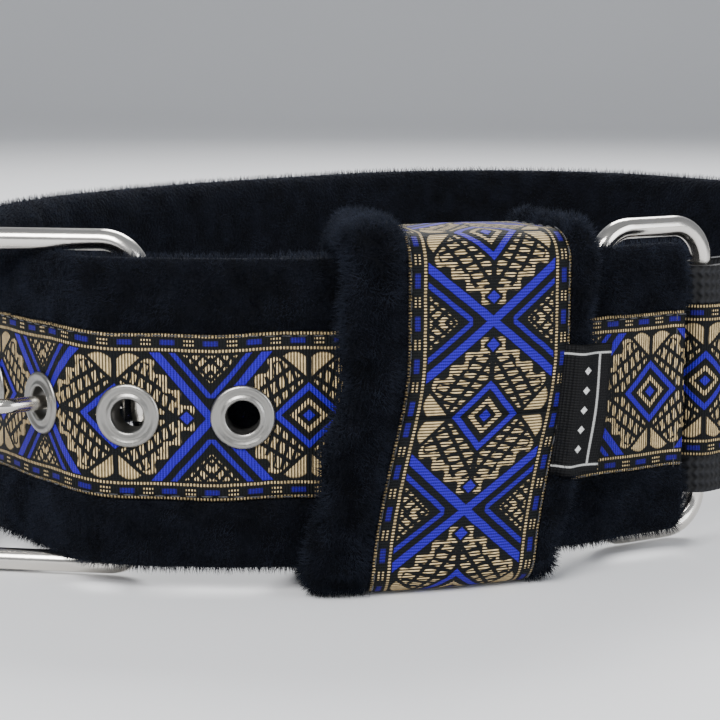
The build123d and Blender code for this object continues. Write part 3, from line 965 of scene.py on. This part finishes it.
def keeper_ribbon():
    stations, around = keeper_loop(1.0)
    sections, uvs = [], []
    scale = round(around / PATTERN_LENGTH) * PATTERN_LENGTH / around
    xs = np.linspace(-KEEPER_RIBBON_HALF, KEEPER_RIBBON_HALF, 27)
    stations = stations + [stations[0]]
    for number, station in enumerate(stations):
        along = station[2] if number < len(stations) - 1 else around
        ring, row = [], []
        for side, x in both_faces(xs):
            edge = 1 - smooth(0.0, 1.0, KEEPER_RIBBON_HALF - abs(x))
            crown = 0.35 * (1 - (x / KEEPER_RIBBON_HALF) ** 2) * (1 if station[1][1] > -0.5 else 0)
            offset = KEEPER_WALL + (0.48 + crown * 0.6 - 0.2 * edge if side > 0 else 0.0)
            ring.append(keeper_point(x + KEEPER_RIBBON_SHIFT, station, offset))
            row.append((along * scale, x * PATTERN_WIDTH / (2 * KEEPER_RIBBON_HALF)))
        sections.append(ring)
        uvs.append(row)
    return loft("keeper_weave", sections, RIBBON, uvs)


LABEL_HALF, LABEL_REACH = 10.0, 6.6
LABEL_TUCK = 0.8            # under the ribbon's edge


def keeper_label():
    """A folded satin tab sewn into the ribbon's edge, standing a little off the plush."""
    sections, uvs = [], []
    start = KEEPER_RIBBON_SHIFT + KEEPER_RIBBON_HALF - LABEL_TUCK
    for x in np.linspace(0.0, LABEL_REACH, 14):
        ring, row = [], []
        lift = 2.2 * smooth(0.0, 2.0, x) + 0.25 * sin(x * 1.1)
        for side, z in both_faces(np.linspace(-LABEL_HALF, LABEL_HALF, 30)):
            curl = 0.25 * sin(z * 0.35 + x * 0.3)
            out = KEEPER_HIGH + KEEPER_WALL + 0.35 + lift + curl * smooth(0, 6, x) + 0.19 * side
            slip = keeper_lean(z * 0.6)
            angle = KEEPER_ANGLE + degrees((start + x + slip) / FRONT_R)
            ring.append(front_place(angle, out, MID_Z + z))
            row.append((x, z))
        sections.append(ring)
        uvs.append(row)
    return loft("side_label", sections, LABEL, uvs)


tube = keeper_plush()
tube_pile = grow_pile(tube, "keeper_pile", 14.0, 1.5, 1.5)
keeper_weave = keeper_ribbon()
label = keeper_label()
ride(tube, "keeper", "plush", "keeper_plush")
ride(tube_pile, "keeper", "plush")
ride(keeper_weave, "keeper", "ribbon", "keeper_ribbon")
ride(label, "keeper", "label", "keeper_label")

loop_stations, _ = keeper_loop(1.4)
keeper_lines = []
for side in (-1, 1):
    across = KEEPER_RIBBON_SHIFT + side * (KEEPER_RIBBON_HALF - 0.5)
    keeper_lines.append([keeper_point(across, station, KEEPER_WALL + 0.5)
                         for station in loop_stations + loop_stations[:1]])
ride(stitched("keeper_stitches", keeper_lines, 2.4, 1.7, 0.22), "keeper", "webbing")


# ======================================================================
# Control loop: ribbon on its outer run, box stitches beside the tab
# ======================================================================
shift_axis = Vector(joints["loop_shift"]["axis"])
loop_along = Vector((shift_axis.x, shift_axis.y, 0)).normalized()
loop_out = Vector((loop_along.y, -loop_along.x, 0))
D_BAR = Vector(joints["lead_ring_swing"]["pos_m"])
LOOP_FACE = 4.3                                # loop's outer face from its middle line
RIBBON_THICKNESS = 0.5
D_WIRE_R, D_GAP = 1.5, 0.4
D_BAR_OUT = LOOP_FACE + RIBBON_THICKNESS + D_WIRE_R + D_GAP
LOOP_HALF = 35.2                               # half the loop ribbon's length
LOOP_END_REACH = 2.5                           # on to where the loop's end starts to turn
LOOP_WRAP = 150.0                              # degrees of that turn the ribbon follows
LOOP_MIDDLE = D_BAR - loop_out * (D_BAR_OUT * MM)


def loop_place(along, out, height):
    point = LOOP_MIDDLE + loop_along * (along * MM) + loop_out * (out * MM)
    return (point.x, point.y, (MID_Z + height) * MM)


def loop_ribbon_path():
    """Stations along the ribbon, from round the loop's front end: (along, out), normal, distance."""
    end, reach = -LOOP_HALF - LOOP_END_REACH, LOOP_FACE
    path = []
    for angle in np.linspace(LOOP_WRAP, 0, 14)[:-1]:
        normal = (-sin(radians(angle)), cos(radians(angle)))
        distance = -LOOP_HALF - LOOP_END_REACH - radians(angle) * reach
        path.append(((end + normal[0] * reach, normal[1] * reach), normal, distance))
    for along in np.linspace(end, LOOP_HALF, 92):
        path.append(((along, reach), (0.0, 1.0), along))
    return path


def loop_ribbon():
    sections, uvs = [], []
    for (along, out), normal, distance in loop_ribbon_path():
        ring, row = [], []
        for side, v in both_faces(np.linspace(-RIBBON_HALF, RIBBON_HALF, 27)):
            edge = 1 - smooth(0.0, 0.9, RIBBON_HALF - abs(v))
            lift = 0.48 - 0.2 * edge if side > 0 else 0.02
            ring.append(loop_place(along + normal[0] * lift, out + normal[1] * lift, v))
            row.append((distance + PATTERN_LENGTH / 2, v * PATTERN_WIDTH / RIBBON_WIDTH))
        sections.append(ring)
        uvs.append(row)
    return loft("loop_weave", sections, RIBBON, uvs)


BOX_HALF = 9.2                                 # half the box stitch beside the tab

ride(loop_ribbon(), "control_loop", "ribbon", "loop_ribbon")
loop_lines = [[loop_place(a, 4.8, side * 12.2) for a in np.arange(-LOOP_HALF + 0.4, LOOP_HALF, 2.0)]
              for side in (-1, 1)]
for side in (-1, 1):
    near, far = side * 3.6, side * BOX_HALF
    low, high = -BOX_HALF, BOX_HALF
    square = [(near, low), (near, high), (far, high), (far, low)]
    crossed = square + [(near, low), (far, high), (near, high), (far, low)]
    line = []
    for (a, z), (b, w) in zip(crossed[:-1], crossed[1:]):
        line += [loop_place(a + (b - a) * t, 6.02, z + (w - z) * t) for t in np.linspace(0, 1, 12)[:-1]]
    loop_lines.append(line)
ride(stitched("loop_stitches", loop_lines, 1.7, 1.2, 0.26), "control_loop", "webbing")

# ---- Finishes of the carried-over pieces ----
FINISHES = {"webbing": WEBBING, "nickel": NICKEL, "eyelet": EYELET,
            "plush": PLUSH, "ribbon": RIBBON, "label": LABEL}
slots = {item["node"]: item["material_slot"] for item in frame["record"]["subparts"]}
for name, node in nodes.items():
    node.data.materials.clear()
    node.data.materials.append(FINISHES[slots[name]])

bpy.data.objects.remove(FIBRE)

# ======================================================================
# Floor, light and camera
# ======================================================================
BEND = 0.9                                     # radius where the floor turns up into the backdrop
FLOOR_END, WALL_TOP, SIDE = 1.4, 4.0, 4.0
FLOOR_DROP = 0.0002                            # floor below the keeper's foot
profile = [(-SIDE, 0.0), (FLOOR_END, 0.0)]
profile += [(FLOOR_END + BEND * sin(a), BEND * (1 - cos(a))) for a in np.linspace(0.1, pi / 2, 12)]
profile.append((FLOOR_END + BEND, WALL_TOP))
corners = [(x, y, z - FLOOR_DROP) for y, z in profile for x in (-SIDE, SIDE)]
strips = [(2 * i, 2 * i + 1, 2 * i + 3, 2 * i + 2) for i in range(len(profile) - 1)]
floor_finish = Finish("pale_floor", Roughness=0.75)
cloud = floor_finish.noise(3.0, 2.0)
floor_finish.set("Base Color", floor_finish.mix(cloud, rgb(0.78, 0.78, 0.79), rgb(0.84, 0.84, 0.85)))
floor = new_piece("studio_floor", corners, strips, floor_finish.material)

world = bpy.data.worlds.new("studio")
world.use_nodes = True
world.node_tree.nodes["Background"].inputs[0].default_value = rgb(0.80, 0.84, 0.90)
world.node_tree.nodes["Background"].inputs[1].default_value = 0.42
bpy.context.scene.world = world


def soft_light(name, place, target, size, power, colour=(1.0, 1.0, 1.0)):
    data = bpy.data.lights.new(name, "AREA")
    data.size = size
    data.energy = power
    data.color = colour
    light = bpy.data.objects.new(name, data)
    light.location = place
    light.rotation_euler = (Vector(target) - Vector(place)).to_track_quat("-Z", "Y").to_euler()
    bpy.context.scene.collection.objects.link(light)


MIDDLE = (0.0, 0.03, 0.03)
soft_light("key", (-0.35, -0.75, 0.75), MIDDLE, 0.5, 16.0)
soft_light("fill", (0.75, -0.55, 0.35), MIDDLE, 0.6, 6.0, (0.93, 0.96, 1.0))
soft_light("rim", (0.1, 0.75, 0.75), MIDDLE, 0.5, 12.0)

VIEW_FROM = np.array([18.0, -387.5])           # from the front arc's centre, in millimetres
VIEW_HEIGHT = 82.4
VIEW_SLOPE = 0.167                             # how steeply it looks down
LENS = 95.15
camera_data = bpy.data.cameras.new("view")
camera_data.sensor_width = 36.0
camera_data.lens = LENS
camera_data.clip_start = 0.01
camera = bpy.data.objects.new("view", camera_data)
camera.location = (*((FRONT_CENTRE + VIEW_FROM) * MM), VIEW_HEIGHT * MM)
camera.rotation_euler = (radians(90) - atan(VIEW_SLOPE), 0.0, 0.0)
bpy.context.scene.collection.objects.link(camera)
bpy.context.scene.camera = camera
